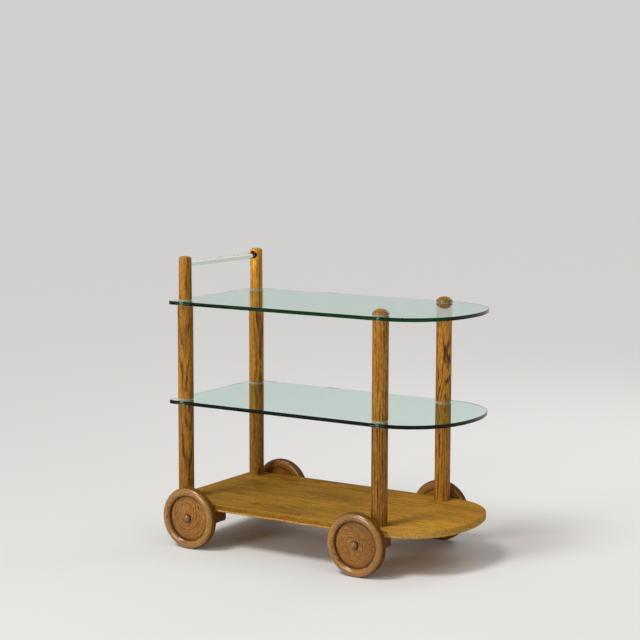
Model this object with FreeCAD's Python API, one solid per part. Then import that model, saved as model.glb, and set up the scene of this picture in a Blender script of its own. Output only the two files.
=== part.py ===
import FreeCAD, Part
import math
import os

# Bar cart: an oak deck on four turned wheels, two plate glass shelves on oak
# posts, domed caps at the front and a clear push rod at the rear.
# Frame: origin on the floor under the middle of the tiers, +X to the rounded
# nose, +Y to the left of a person pushing from the rear, +Z up. Millimetres.

# Plan outline shared by the deck and both shelves
tier_length = 806.0
tier_width = 404.0
nose_radius = 300.0
shoulder_radius = 162.0
rear_corner_radius = 16.0

# Deck and shelves
deck_thickness = 19.0
deck_top_round = 2.0
deck_bottom_round = 3.5
glass_thickness = 9.5
glass_arris = 0.8
glass_hole_diameter = 14.0
shelf_pitch = 262.5

# Posts
post_diameter = 41.3
post_edge_round = 1.2
post_side_inset = 37.0
rear_post_setback = 34.0
front_post_setback = 179.0

# Handle posts and rod
handle_post_foot_diameter = 34.9
handle_post_top_diameter = 33.4
handle_post_length = 114.0
handle_post_top_round = 7.5
rod_diameter = 16.0
socket_diameter = 21.0
socket_depth = 20.0
socket_below_top = 18.0
rod_rest_clearance = 0.3
rod_end_clearance = 1.0

# Front caps
cap_diameter = 44.0
cap_height = 15.0
cap_edge_round = 2.0

# Washers, sleeves and studs at the shelves
shelf_washer_thickness = 1.6
shelf_washer_inset = 1.0
sleeve_clearance = 0.2
stud_diameter = 8.0
stud_post_grip = 28.0
stud_cap_grip = 9.0
stud_end_chamfer = 1.0

# Deck screws, driven up into the lower posts
deck_screw_diameter = 7.0
deck_screw_grip = 45.0
deck_screw_point = 6.0
deck_screw_head_diameter = 13.0
deck_screw_head_height = 4.0
deck_screw_drive_width = 5.0
deck_screw_drive_depth = 2.2
deck_washer_thickness = 1.6
deck_counterbore_diameter = 18.6
deck_counterbore_depth = 8.0

# Wheels
wheel_diameter = 162.0
wheel_thickness = 27.0
wheel_rim_bead_radius = 11.5
wheel_back_round = 9.0
wheel_groove_depth = 11.3
wheel_groove_width = 2.0
wheel_disc_rise = 1.2
wheel_disc_round = 0.9
wheel_disc_crown = 4.5
wheel_gap = 5.0
rear_axle_setback = 84.0
front_axle_setback = 212.0
axle_drop = 22.4

# Axle pegs and wheel spacers
peg_diameter = 14.0
peg_grip = 62.0
peg_end_chamfer = 2.0
peg_head_diameter = 21.0
peg_head_height = 10.0
peg_head_round = 2.5
wheel_running_clearance = 0.06
wheel_side_clearance = 0.4
spacer_diameter = 28.0

# Axle blocks and their screws
block_length = 116.0
block_width = 46.0
block_height = 52.5
block_toe_round = 6.0
block_edge_round = 3.0
block_screw_offset = 14.0
block_outer_screw_inset = 30.0
block_inner_screw_inset = 24.0
block_screw_diameter = 4.6
block_screw_deck_grip = 12.0
block_screw_point = 4.0
block_screw_head_diameter = 9.0
block_screw_head_height = 3.0
block_screw_drive_width = 3.5
block_screw_drive_depth = 1.6
block_counterbore_diameter = 10.0
block_counterbore_depth = 20.0

# Fits and cuts
hole_clearance = 0.1
hole_end_clearance = 1.0
cut_overrun = 2.0
plane_tolerance = 0.001
screw_rim_share = 0.3

# Levels above the floor
wheel_radius = wheel_diameter / 2
deck_underside = wheel_radius + axle_drop
deck_top = deck_underside + deck_thickness
middle_shelf_top = deck_top + shelf_pitch
middle_shelf_underside = middle_shelf_top - glass_thickness
top_shelf_top = middle_shelf_top + shelf_pitch
top_shelf_underside = top_shelf_top - glass_thickness
handle_post_foot = top_shelf_top + shelf_washer_thickness
socket_level = handle_post_foot + handle_post_length - socket_below_top
rod_level = socket_level - (socket_diameter - rod_diameter) / 2 + rod_rest_clearance
deck_screw_seat = deck_underside + deck_counterbore_depth - deck_washer_thickness
block_underside = deck_underside - block_height
block_screw_seat = block_underside + block_counterbore_depth

# Places in plan
rear_post_x = rear_post_setback - tier_length / 2
front_post_x = tier_length / 2 - front_post_setback
post_y = tier_width / 2 - post_side_inset
rear_axle_x = rear_axle_setback - tier_length / 2
front_axle_x = tier_length / 2 - front_axle_setback
block_outer_y = tier_width / 2
block_inner_y = block_outer_y - block_length
wheel_back_y = block_outer_y + wheel_gap
socket_mouth_y = post_y - handle_post_foot_diameter / 2
socket_floor_y = socket_mouth_y + socket_depth

# Levels on the wheel, measured along the axle from its back face
groove_floor = wheel_thickness - wheel_groove_depth
disc_edge = groove_floor + wheel_disc_rise
hub_face = disc_edge + wheel_disc_crown
peg_head_seat = hub_face + wheel_side_clearance

# Corners of the cart: name, 1 for front or -1 for rear, 1 for left or -1 for right
corners = [
    ("rear_left", -1, 1),
    ("rear_right", -1, -1),
    ("front_left", 1, 1),
    ("front_right", 1, -1),
]


def point(x, y, z):
    return FreeCAD.Vector(x, y, z)


def line(start, end):
    return Part.LineSegment(start, end).toShape()


def arc(start, middle, end):
    return Part.Arc(start, middle, end).toShape()


def post_x(end):
    return front_post_x if end > 0 else rear_post_x


def axle_x(end):
    return front_axle_x if end > 0 else rear_axle_x


def pin(diameter, bottom, top):
    """Upright cylinder on the Z axis between two levels."""
    return Part.makeCylinder(diameter / 2, top - bottom, point(0, 0, bottom))


def ring(outer_diameter, inner_diameter, bottom, top):
    return pin(outer_diameter, bottom, top).cut(pin(inner_diameter, bottom, top))


def moved(shape, x, y, z=0):
    copy = shape.copy()
    copy.translate(point(x, y, z))
    return copy


def at_posts(shape, ends=(-1, 1)):
    """Copies of a shape on the post axes at the named ends, as a list."""
    copies = []
    for _, end, side in corners:
        if end in ends:
            copies.append(moved(shape, post_x(end), side * post_y))
    return copies


def edges_at_level(shape, level):
    """Edges of a shape that lie flat at one level."""
    found = []
    for edge in shape.Edges:
        box = edge.BoundBox
        if abs(box.ZMin - level) < plane_tolerance and abs(box.ZMax - level) < plane_tolerance:
            found.append(edge)
    return found


def turned(edges):
    """Solid of revolution about Z from a closed outline in the XZ plane."""
    face = Part.Face(Part.Wire(edges))
    return face.revolve(point(0, 0, 0), point(0, 0, 1), 360)


def crown_arc(radius, rim, apex):
    """Arc in the XZ plane from the rim of a shallow dome to its apex on the axis."""
    crown = apex - rim
    sphere = (radius ** 2 + crown ** 2) / (2 * crown)
    half_angle = math.asin(radius / abs(sphere)) / 2
    middle_radius = abs(sphere) * math.sin(half_angle)
    middle_level = apex - sphere * (1 - math.cos(half_angle))
    return arc(point(radius, 0, rim), point(middle_radius, 0, middle_level), point(0, 0, apex))


def domed_button(diameter, height, edge_round, base):
    """Turned button: flat underside, rounded edge and a dome that runs into the edge."""
    edge_centre = diameter / 2 - edge_round
    rise = height - edge_round
    dome_centre = (rise ** 2 - edge_round ** 2 - edge_centre ** 2) / (2 * (rise - edge_round))
    dome_radius = height - dome_centre
    join_angle = math.atan2(edge_round - dome_centre, edge_centre)

    def on_dome(angle):
        return point(
            dome_radius * math.cos(angle),
            0,
            base + dome_centre + dome_radius * math.sin(angle),
        )

    def on_edge(angle):
        return point(
            edge_centre + edge_round * math.cos(angle),
            0,
            base + edge_round + edge_round * math.sin(angle),
        )

    floor_angle = -math.pi / 2
    foot = on_edge(floor_angle)
    join = on_dome(join_angle)
    apex = point(0, 0, base + height)
    centre = point(0, 0, base)
    return turned([
        line(centre, foot),
        arc(foot, on_edge((floor_angle + join_angle) / 2), join),
        arc(join, on_dome((join_angle + math.pi / 2) / 2), apex),
        line(apex, centre),
    ])


def hex_prism(width, bottom, top):
    """Six-sided prism on the Z axis, with its width across the flats."""
    corner_radius = width / math.sqrt(3)
    outline = [
        point(corner_radius * math.cos(turn), corner_radius * math.sin(turn), bottom)
        for turn in (math.radians(60 * corner) for corner in range(7))
    ]
    return Part.Face(Part.makePolygon(outline)).extrude(point(0, 0, top - bottom))


def screw(diameter, head_diameter, head_height, drive_width, drive_depth, seat, tip, tip_length):
    """Round-headed screw: head with a driver socket under the seat level, pointed shank up to the tip."""
    head_bottom = seat - head_height
    head_rim = seat - head_height * screw_rim_share
    rim_foot = point(head_diameter / 2, 0, head_rim)
    rim_top = point(head_diameter / 2, 0, seat)
    neck = point(diameter / 2, 0, seat)
    shoulder = point(diameter / 2, 0, tip - tip_length)
    end = point(0, 0, tip)
    blank = turned([
        crown_arc(head_diameter / 2, head_rim, head_bottom),
        line(rim_foot, rim_top),
        line(rim_top, neck),
        line(neck, shoulder),
        line(shoulder, end),
        line(end, point(0, 0, head_bottom)),
    ])
    return blank.cut(hex_prism(drive_width, head_bottom - cut_overrun, head_bottom + drive_depth))


def tier_board(bottom, top):
    """Board with the shared plan outline: straight rear, parallel sides and a three-arc nose."""
    rear = -tier_length / 2
    half = tier_width / 2
    corner = rear_corner_radius
    corner_reach = corner * (1 - math.sqrt(0.5))
    nose_centre = tier_length / 2 - nose_radius
    shoulder_y = half - shoulder_radius
    shoulder_x = nose_centre + math.sqrt((nose_radius - shoulder_radius) ** 2 - shoulder_y ** 2)
    join_angle = math.atan2(shoulder_y, shoulder_x - nose_centre)
    middle_angle = (join_angle + math.pi / 2) / 2

    def on_nose(angle):
        return point(
            nose_centre + nose_radius * math.cos(angle),
            nose_radius * math.sin(angle),
            bottom,
        )

    def on_shoulder(angle, side):
        return point(
            shoulder_x + shoulder_radius * math.cos(angle),
            side * (shoulder_y + shoulder_radius * math.sin(angle)),
            bottom,
        )

    def rear_corner(side):
        return arc(
            point(rear + corner, side * half, bottom),
            point(rear + corner_reach, side * (half - corner_reach), bottom),
            point(rear, side * (half - corner), bottom),
        )

    def straight_side(side):
        return line(
            point(rear + corner, side * half, bottom),
            point(shoulder_x, side * half, bottom),
        )

    def shoulder(side):
        return arc(
            point(shoulder_x, side * half, bottom),
            on_shoulder(middle_angle, side),
            on_nose(side * join_angle),
        )

    outline = [
        line(point(rear, half - corner, bottom), point(rear, corner - half, bottom)),
        rear_corner(-1),
        straight_side(-1),
        shoulder(-1),
        arc(on_nose(-join_angle), on_nose(0), on_nose(join_angle)),
        shoulder(1),
        straight_side(1),
        rear_corner(1),
    ]
    face = Part.Face(Part.Wire(outline))
    return face.extrude(point(0, 0, top - bottom))


def block_screw_places(end, side):
    """Plan places of the two staggered screws in one axle block."""
    outer_y = block_outer_y - block_outer_screw_inset
    inner_y = block_inner_y + block_inner_screw_inset
    return [
        (axle_x(end) - end * block_screw_offset, side * outer_y),
        (axle_x(end) + end * block_screw_offset, side * inner_y),
    ]


def at_block_screws(shape):
    copies = []
    for _, end, side in corners:
        for x, y in block_screw_places(end, side):
            copies.append(moved(shape, x, y))
    return copies


def deck():
    """Oak board with eased edges, recessed holes for the post screws and pilot holes."""
    board = tier_board(deck_underside, deck_top)
    board = board.makeFillet(deck_top_round, edges_at_level(board, deck_top))
    board = board.makeFillet(deck_bottom_round, edges_at_level(board, deck_underside))
    start = deck_underside - cut_overrun
    shank = pin(deck_screw_diameter + 2 * hole_clearance, start, deck_top + cut_overrun)
    recess = pin(deck_counterbore_diameter, start, deck_underside + deck_counterbore_depth)
    pilot_end = deck_underside + block_screw_deck_grip + hole_end_clearance
    pilot = pin(block_screw_diameter + 2 * hole_clearance, start, pilot_end)
    return board.cut(at_posts(shank.fuse(recess)) + at_block_screws(pilot))


def glass_shelf(underside, top):
    """Plate glass with ground edges and a hole at each post."""
    plate = tier_board(underside, top)
    rims = edges_at_level(plate, underside) + edges_at_level(plate, top)
    plate = plate.makeChamfer(glass_arris, rims)
    hole = pin(glass_hole_diameter, underside - cut_overrun, top + cut_overrun)
    return plate.cut(at_posts(hole))


def stud_hole(start, end):
    """Cutter for a stud, from the face it enters to past its end."""
    direction = 1 if end > start else -1
    mouth = start - direction * cut_overrun
    floor = end + direction * hole_end_clearance
    return pin(stud_diameter + 2 * hole_clearance, min(mouth, floor), max(mouth, floor))


def eased_post(bottom, top):
    """Turned post with both end edges eased."""
    post = pin(post_diameter, bottom, top)
    ends = edges_at_level(post, bottom) + edges_at_level(post, top)
    return post.makeFillet(post_edge_round, ends)


def lower_post():
    top = middle_shelf_underside - shelf_washer_thickness
    screw_end = deck_top + deck_screw_grip + hole_end_clearance
    screw_hole = pin(deck_screw_diameter + 2 * hole_clearance, deck_top - cut_overrun, screw_end)
    return eased_post(deck_top, top).cut([screw_hole, stud_hole(top, top - stud_post_grip)])


def middle_post():
    bottom = middle_shelf_top + shelf_washer_thickness
    top = top_shelf_underside - shelf_washer_thickness
    return eased_post(bottom, top).cut([
        stud_hole(bottom, bottom + stud_post_grip),
        stud_hole(top, top - stud_post_grip),
    ])


def handle_post(side):
    """Slightly tapered post with a rounded top and a blind socket facing the other post."""
    top = handle_post_foot + handle_post_length
    post = Part.makeCone(
        handle_post_foot_diameter / 2,
        handle_post_top_diameter / 2,
        handle_post_length,
        point(0, 0, handle_post_foot),
    )
    post = post.makeFillet(handle_post_top_round, edges_at_level(post, top))
    post = post.makeFillet(post_edge_round, edges_at_level(post, handle_post_foot))
    post = post.cut(stud_hole(handle_post_foot, handle_post_foot + stud_post_grip))
    post = moved(post, rear_post_x, side * post_y)
    socket = Part.makeCylinder(
        socket_diameter / 2,
        socket_depth + cut_overrun,
        point(rear_post_x, side * (socket_mouth_y - cut_overrun), socket_level),
        point(0, side, 0),
    )
    return post.cut(socket)


def handle_rod():
    reach = socket_floor_y - rod_end_clearance
    return Part.makeCylinder(
        rod_diameter / 2,
        2 * reach,
        point(rear_post_x, -reach, rod_level),
        point(0, 1, 0),
    )


def front_cap():
    button = domed_button(cap_diameter, cap_height, cap_edge_round, handle_post_foot)
    return button.cut(stud_hole(handle_post_foot, handle_post_foot + stud_cap_grip))


def shelf_washer(seat_diameter, bottom):
    return ring(
        seat_diameter - 2 * shelf_washer_inset,
        stud_diameter + 2 * hole_clearance,
        bottom,
        bottom + shelf_washer_thickness,
    )


def shelf_sleeve(underside, top):
    return ring(
        glass_hole_diameter - 2 * sleeve_clearance,
        stud_diameter + 2 * sleeve_clearance,
        underside,
        top,
    )


def shelf_stud(underside, top, upper_grip):
    """Double-ended stud from the post under a shelf into the piece above it."""
    bottom = underside - shelf_washer_thickness - stud_post_grip
    end = top + shelf_washer_thickness + upper_grip
    stud = pin(stud_diameter, bottom, end)
    rims = edges_at_level(stud, bottom) + edges_at_level(stud, end)
    return stud.makeChamfer(stud_end_chamfer, rims)


def deck_screw():
    return screw(
        deck_screw_diameter,
        deck_screw_head_diameter,
        deck_screw_head_height,
        deck_screw_drive_width,
        deck_screw_drive_depth,
        deck_screw_seat,
        deck_top + deck_screw_grip,
        deck_screw_point,
    )


def deck_screw_washer():
    return ring(
        deck_counterbore_diameter - 2 * hole_clearance,
        deck_screw_diameter + 2 * hole_clearance,
        deck_screw_seat,
        deck_screw_seat + deck_washer_thickness,
    )


def axle_block(end, side):
    """Block under the deck with a rounded inner toe, a bore for the peg and two screw holes."""
    start = axle_x(end) - block_width / 2
    outer = side * block_outer_y
    inner = side * block_inner_y
    toe = block_toe_round
    toe_reach = toe * (1 - math.sqrt(0.5))
    outer_top = point(start, outer, deck_underside)
    outer_foot = point(start, outer, block_underside)
    toe_foot = point(start, inner + side * toe, block_underside)
    toe_middle = point(start, inner + side * toe_reach, block_underside + toe_reach)
    toe_top = point(start, inner, block_underside + toe)
    inner_top = point(start, inner, deck_underside)
    profile = Part.Wire([
        line(outer_top, outer_foot),
        line(outer_foot, toe_foot),
        arc(toe_foot, toe_middle, toe_top),
        line(toe_top, inner_top),
        line(inner_top, outer_top),
    ])
    block = Part.Face(profile).extrude(point(block_width, 0, 0))
    eased = []
    for edge in block.Edges:
        box = edge.BoundBox
        on_flank = box.XLength < plane_tolerance
        on_deck = box.ZMin > deck_underside - plane_tolerance
        on_outer_end = abs(abs(box.Center.y) - block_outer_y) < plane_tolerance
        if on_flank and not on_deck and not on_outer_end:
            eased.append(edge)
    block = block.makeFillet(block_edge_round, eased)
    bore = Part.makeCylinder(
        peg_diameter / 2 + hole_clearance,
        peg_grip + hole_end_clearance + cut_overrun,
        point(axle_x(end), outer + side * cut_overrun, wheel_radius),
        point(0, -side, 0),
    )
    recess_start = block_underside - cut_overrun
    shank_end = deck_underside + cut_overrun
    shank = pin(block_screw_diameter + 2 * hole_clearance, recess_start, shank_end)
    recess = pin(block_counterbore_diameter, recess_start, block_screw_seat)
    cutters = [bore]
    for x, y in block_screw_places(end, side):
        cutters.append(moved(shank.fuse(recess), x, y))
    return block.cut(cutters)


def block_screw():
    return screw(
        block_screw_diameter,
        block_screw_head_diameter,
        block_screw_head_height,
        block_screw_drive_width,
        block_screw_drive_depth,
        block_screw_seat,
        deck_underside + block_screw_deck_grip,
        block_screw_point,
    )


def on_axle(shape, end, side):
    """Turn a shape made about Z, with its back face at level 0, onto a wheel's axle."""
    placed = shape.copy()
    placed.rotate(point(0, 0, 0), point(1, 0, 0), -90 * side)
    placed.translate(point(axle_x(end), side * wheel_back_y, wheel_radius))
    return placed


def wheel():
    """Turned wheel: flat rounded back, beaded rim, groove and a sunk, crowned centre disc."""
    bead = wheel_rim_bead_radius
    bead_centre = wheel_radius - bead
    bead_level = wheel_thickness - bead
    back = wheel_back_round
    back_reach = back * (1 - math.sqrt(0.5))
    groove_angle = math.pi - math.asin((groove_floor - bead_level) / bead)
    ease = wheel_disc_round
    ease_reach = ease * (1 - math.sqrt(0.5))

    def on_bead(angle):
        return point(
            bead_centre + bead * math.cos(angle),
            0,
            bead_level + bead * math.sin(angle),
        )

    disc = on_bead(groove_angle).x - wheel_groove_width
    centre_back = point(0, 0, 0)
    back_edge = point(wheel_radius - back, 0, 0)
    back_middle = point(wheel_radius - back_reach, 0, back_reach)
    tread_back = point(wheel_radius, 0, back)
    groove_foot = point(disc, 0, groove_floor)
    disc_side = point(disc, 0, disc_edge - ease)
    disc_middle = point(disc - ease_reach, 0, disc_edge - ease_reach)
    disc_rim = point(disc - ease, 0, disc_edge)
    body = turned([
        line(centre_back, back_edge),
        arc(back_edge, back_middle, tread_back),
        line(tread_back, on_bead(0)),
        arc(on_bead(0), on_bead(groove_angle / 2), on_bead(groove_angle)),
        line(on_bead(groove_angle), groove_foot),
        line(groove_foot, disc_side),
        arc(disc_side, disc_middle, disc_rim),
        crown_arc(disc - ease, disc_edge, hub_face),
        line(point(0, 0, hub_face), centre_back),
    ])
    bore = pin(
        peg_diameter + 2 * wheel_running_clearance,
        -cut_overrun,
        wheel_thickness + cut_overrun,
    )
    return body.cut(bore)


def axle_peg():
    """Turned peg: chamfered shank glued into the block and a domed head outside the wheel."""
    shank_end = -wheel_gap - peg_grip
    shank = pin(peg_diameter, shank_end, peg_head_seat)
    shank = shank.makeChamfer(peg_end_chamfer, edges_at_level(shank, shank_end))
    head = domed_button(peg_head_diameter, peg_head_height, peg_head_round, peg_head_seat)
    return shank.fuse(head).removeSplitter()


def wheel_spacer():
    return ring(
        spacer_diameter,
        peg_diameter + 2 * hole_clearance,
        -wheel_gap,
        -wheel_side_clearance,
    )


def group(solids):
    """Like pieces that share one node, kept as separate solids."""
    return Part.makeCompound(solids)


def shelf_pieces():
    """Shelves with the washers, sleeves and studs that hold them."""
    below_middle = middle_shelf_underside - shelf_washer_thickness
    below_top = top_shelf_underside - shelf_washer_thickness
    middle_sleeve = shelf_sleeve(middle_shelf_underside, middle_shelf_top)
    top_sleeve = shelf_sleeve(top_shelf_underside, top_shelf_top)
    middle_stud = shelf_stud(middle_shelf_underside, middle_shelf_top, stud_post_grip)
    handle_stud = shelf_stud(top_shelf_underside, top_shelf_top, stud_post_grip)
    cap_stud = shelf_stud(top_shelf_underside, top_shelf_top, stud_cap_grip)
    handle_washer = shelf_washer(handle_post_foot_diameter, top_shelf_top)
    cap_washer = shelf_washer(post_diameter, top_shelf_top)
    return {
        "middle_shelf": glass_shelf(middle_shelf_underside, middle_shelf_top),
        "top_shelf": glass_shelf(top_shelf_underside, top_shelf_top),
        "middle_shelf_lower_washers": group(at_posts(shelf_washer(post_diameter, below_middle))),
        "middle_shelf_upper_washers": group(at_posts(shelf_washer(post_diameter, middle_shelf_top))),
        "top_shelf_lower_washers": group(at_posts(shelf_washer(post_diameter, below_top))),
        "handle_post_washers": group(at_posts(handle_washer, ends=(-1,))),
        "cap_washers": group(at_posts(cap_washer, ends=(1,))),
        "middle_shelf_sleeves": group(at_posts(middle_sleeve)),
        "top_shelf_sleeves": group(at_posts(top_sleeve)),
        "middle_shelf_studs": group(at_posts(middle_stud)),
        "handle_studs": group(at_posts(handle_stud, ends=(-1,))),
        "cap_studs": group(at_posts(cap_stud, ends=(1,))),
    }


def fixed_pieces():
    """Deck, handle and the fasteners under the deck."""
    spacers = [on_axle(wheel_spacer(), end, side) for _, end, side in corners]
    return {
        "deck": deck(),
        "handle_post_left": handle_post(1),
        "handle_post_right": handle_post(-1),
        "handle_rod": handle_rod(),
        "front_cap_left": moved(front_cap(), front_post_x, post_y),
        "front_cap_right": moved(front_cap(), front_post_x, -post_y),
        "deck_screws": group(at_posts(deck_screw())),
        "deck_screw_washers": group(at_posts(deck_screw_washer())),
        "axle_block_screws": group(at_block_screws(block_screw())),
        "wheel_spacers": group(spacers),
    }


def corner_pieces():
    """Pieces that repeat at the four corners, each its own node."""
    pieces = {}
    for name, end, side in corners:
        pieces["lower_post_" + name] = moved(lower_post(), post_x(end), side * post_y)
        pieces["middle_post_" + name] = moved(middle_post(), post_x(end), side * post_y)
        pieces["axle_block_" + name] = axle_block(end, side)
        pieces["axle_peg_" + name] = on_axle(axle_peg(), end, side)
        pieces["wheel_" + name] = on_axle(wheel(), end, side)
    return pieces


def main():
    os.makedirs("parts", exist_ok=True)
    pieces = {}
    pieces.update(fixed_pieces())
    pieces.update(shelf_pieces())
    pieces.update(corner_pieces())
    for name, shape in pieces.items():
        shape.exportStep("parts/" + name + ".step")


main()
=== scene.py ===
import math

import bmesh
import bpy
from bpy.props import FloatProperty, FloatVectorProperty, IntProperty, PointerProperty
from mathutils import Euler, Matrix, Vector


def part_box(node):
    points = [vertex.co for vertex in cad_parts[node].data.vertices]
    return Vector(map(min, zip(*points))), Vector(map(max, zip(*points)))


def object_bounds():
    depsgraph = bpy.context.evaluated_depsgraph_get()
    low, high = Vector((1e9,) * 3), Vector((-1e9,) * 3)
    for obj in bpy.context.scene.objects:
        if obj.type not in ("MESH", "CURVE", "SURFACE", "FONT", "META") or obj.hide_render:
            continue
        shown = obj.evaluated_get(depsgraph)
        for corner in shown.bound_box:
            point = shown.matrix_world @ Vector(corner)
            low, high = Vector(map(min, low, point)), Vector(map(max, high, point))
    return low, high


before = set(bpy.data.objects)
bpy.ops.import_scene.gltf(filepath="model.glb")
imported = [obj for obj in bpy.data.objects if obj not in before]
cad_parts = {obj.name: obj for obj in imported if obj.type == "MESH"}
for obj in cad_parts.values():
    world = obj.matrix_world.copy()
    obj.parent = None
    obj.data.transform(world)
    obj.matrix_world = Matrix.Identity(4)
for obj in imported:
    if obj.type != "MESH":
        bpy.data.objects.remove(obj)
cad_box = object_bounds()

bl_info = {
    "name": "Bar Cart",
    "version": (1, 0, 0),
    "blender": (4, 5, 0),
    "location": "View3D > Sidebar > Bar Cart",
    "description": "Dresses an oak and glass bar cart and sets its stage",
    "category": "Object",
}

CORNERS = ("rear_left", "rear_right", "front_left", "front_right")
SHELVES = ("middle_shelf", "top_shelf")

# Directions that the grain of a piece can run in, as the turn that brings it to Z
GRAIN_ALONG = {
    "X": Euler((0.0, math.radians(-90.0), 0.0)),
    "Y": Euler((math.radians(90.0), 0.0, 0.0)),
    "Z": Euler((0.0, 0.0, 0.0)),
}

# Directions that count when a distance is measured round or along an axis
ROUND_Y = (1.0, 0.0, 1.0)
ROUND_Z = (1.0, 1.0, 0.0)
ALONG_Y = (0.0, 1.0, 0.0)
ALONG_Z = (0.0, 0.0, 1.0)

# Middle of a noise, of a chance and of a board's width
MIDDLE = 0.5

WHITE = (1.0, 1.0, 1.0, 1.0)

# Noise cells for each metre of oak, twice across the grain and once along it
LOG_WAVES = (9.0, 9.0, 4.0)
RING_RIPPLES = (75.0, 75.0, 9.0)
RING_BREAKS = (150.0, 150.0, 13.0)
LONG_PORES = (400.0, 400.0, 17.0)
SHORT_PORES = (820.0, 820.0, 45.0)
RAY_FLECKS = (260.0, 260.0, 85.0)
FIBRES = (330.0, 330.0, 6.0)
COLOUR_DRIFT = (13.0, 13.0, 5.0)

# Parts of the noise that the flecks of ray and the drift of colour are taken from
RAY_SHIFT = (3.1, 1.7, 0.4)
DRIFT_SHIFT = (0.7, 5.2, 2.9)

# Noise cells for each metre of scuffs, finger marks and dust
SCUFFS = (240.0, 240.0, 240.0)
FINGER_MARKS = (14.0, 14.0, 14.0)
SPECKS = (700.0, 700.0, 700.0)

# Roughness of a finger mark, as a share of that of dust
FINGER_MARK_STRENGTH = 0.6

# Smooth rises: from and to, and then what they start and end with where that isn't 0 and 1
YEAR_END_RISE = (0.90, 1.0)
RING_BREAK_RISE = (0.36, 0.60, 0.30, 1.0)
LONG_PORE_RISE = (0.44, 0.58)
SHORT_PORE_RISE = (0.54, 0.66)
RAY_RISE = (0.40, 0.70, -0.13, 0.22)
DRIFT_RISE = (0.25, 0.75, 0.84, 1.16)
SCUFF_RISE = (0.34, 0.62, 0.35, 1.0)
FINGER_MARK_RISE = (0.52, 0.75)
SPECK_RISE = (0.70, 0.80)

# Strength of each part of the oak's figure
RIPPLE_YEARS = 1.7
YEAR_START = 0.05
OPEN_SHARE = 0.55
YEAR_RANGE = 0.6
WEAKEST_YEAR = 0.4
LONG_PORES_OUTSIDE = 0.06
SHORT_PORES_EARLY = 0.6
SHORT_PORES_OUTSIDE = 0.30
EARLY_WOOD_SHADE = 0.85
FIBRE_SHADE = 0.50
PORE_SHADE = 0.85

# Gloss and depth of the wood
WOOD_ROUGHNESS = 0.36
PORE_ROUGHNESS = 0.22
FIBRE_ROUGHNESS = 0.10
BARE_ROUGHNESS = 0.18
EARLY_WOOD_HOLLOW = 0.35
VARNISH_INDEX = 1.48
PORE_STRENGTH = 0.35
TURNED_RELIEF = 0.0003
DECK_RELIEF = 0.0002

# Bare wood at the ends of a turned piece: where it starts and is full, from the end, and its strength
END_WEAR_START = 0.004
END_WEAR_FULL = 0.0005
END_WEAR = 0.5


def colour_property(name, description, default):
    """A linear colour that the panel shows as a swatch."""
    return FloatVectorProperty(
        name=name, description=description, default=default, subtype="COLOR", size=3, min=0.0, max=1.0
    )


def length_property(name, description, default):
    """A length in metres."""
    return FloatProperty(name=name, description=description, default=default, min=0.0, unit="LENGTH")


def share_property(name, description, default):
    """A share from nothing to all."""
    return FloatProperty(
        name=name, description=description, default=default, min=0.0, max=1.0, subtype="FACTOR"
    )


def angle_property(name, description, degrees):
    """An angle, written in degrees."""
    return FloatProperty(name=name, description=description, default=math.radians(degrees), subtype="ANGLE")


def strength_property(name, description, default):
    """A plain number that isn't negative."""
    return FloatProperty(name=name, description=description, default=default, min=0.0)


def power_property(name, description, default):
    """The power of a lamp in watts."""
    return FloatProperty(name=name, description=description, default=default, unit="POWER")


class BarCartOak(bpy.types.PropertyGroup):
    """Colours and figure of the varnished oak."""

    post_light: colour_property(
        "Post late wood", "Dense wood between the pores of the posts", (0.375, 0.163, 0.021)
    )
    post_dark: colour_property(
        "Post early wood", "Open wood at the start of each ring of the posts", (0.078, 0.025, 0.0025)
    )
    deck_light: colour_property("Deck late wood", "Dense wood of the deck boards", (0.397, 0.198, 0.026))
    deck_dark: colour_property("Deck early wood", "Open wood of the deck boards", (0.143, 0.062, 0.006))
    wheel_light: colour_property("Wheel late wood", "Dense wood of the turned wheels", (0.292, 0.122, 0.019))
    wheel_dark: colour_property("Wheel early wood", "Open wood of the turned wheels", (0.044, 0.014, 0.003))
    block_light: colour_property(
        "Block late wood", "Dense wood of the axle blocks and pegs", (0.25, 0.105, 0.022)
    )
    block_dark: colour_property(
        "Block early wood", "Open wood of the axle blocks and pegs", (0.115, 0.042, 0.008)
    )
    pore: colour_property("Pores", "Finish gathered in the open pores", (0.04, 0.011, 0.001))
    # Paler bare wood laid along edges: wear, also painted light on the wheels' crests and the deck's nose,
    # and a pale band low on the deck's sides
    wear_and_light_colour: colour_property("Worn edge", "Bare wood where the edges are rubbed", (0.57, 0.33, 0.085))
    post_ring: length_property("Post ring width", "One year of growth in the posts", 0.0062)
    deck_ring: length_property("Deck ring width", "One year of growth in the deck", 0.0042)
    wheel_ring: length_property("Wheel ring width", "One year of growth in the wheels", 0.0024)
    board_width: length_property("Board width", "Width of the boards glued side by side into the deck", 0.101)
    varnish: share_property("Varnish", "Strength of the clear coat over the posts and blocks", 0.20)
    deck_varnish: share_property("Deck varnish", "Strength of the clear coat over the deck", 0.04)
    wheel_varnish: share_property("Wheel varnish", "Strength of the clear coat over the discs", 0.55)
    rim_varnish: share_property("Rim varnish", "Strength of the clear coat over the rims and pegs", 1.0)
    cap_varnish: share_property("Cap varnish", "Strength of the clear coat over the caps", 0.45)
    varnish_roughness: share_property(
        "Varnish roughness", "How far the coat of the posts, blocks and deck spreads a highlight", 0.26
    )
    wheel_roughness: share_property(
        "Wheel varnish roughness", "How far the coat of the wheels, pegs and caps spreads a highlight", 0.20
    )
    shine: share_property("Shine", "How strongly the turned wood itself mirrors", 0.03)
    deck_shine: share_property("Deck shine", "How strongly the deck itself mirrors", 0.0)


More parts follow.
